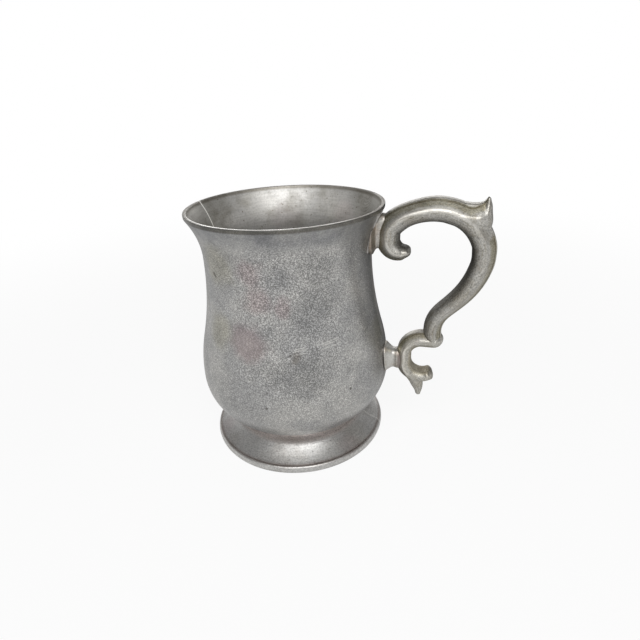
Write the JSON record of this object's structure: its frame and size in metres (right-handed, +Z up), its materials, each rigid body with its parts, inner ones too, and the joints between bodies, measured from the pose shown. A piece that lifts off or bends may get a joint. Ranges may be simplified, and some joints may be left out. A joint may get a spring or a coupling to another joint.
{
  "type": "tankard",
  "caption": "Footed tulip-shaped pewter drinking tankard with a flared lip, a moulded foot and a scrolled cast handle.",
  "frame": {"origin": "on the bowl's axis, in the plane that the foot stands on", "axes": "+Z up along the bowl's axis, +X from the axis towards the handle, +Y square to the handle's plane"},
  "size_m": [0.1417, 0.096, 0.1244],
  "materials": {
    "pewter": "satin",
    "handle_pewter": "satin",
    "solder": "satin"
  },
  "bodies": {
    "root": {"bowl": "pewter", "floor_disc": "pewter", "floor_solder": "solder", "foot": "pewter", "foot_solder": "solder", "handle_scroll": "handle_pewter", "lower_scroll": "handle_pewter", "upper_strut": "handle_pewter", "lower_strut": "handle_pewter", "upper_strut_solder": "solder", "lower_strut_solder": "solder", "scroll_solder": "solder"}
  },
  "joints": []
}
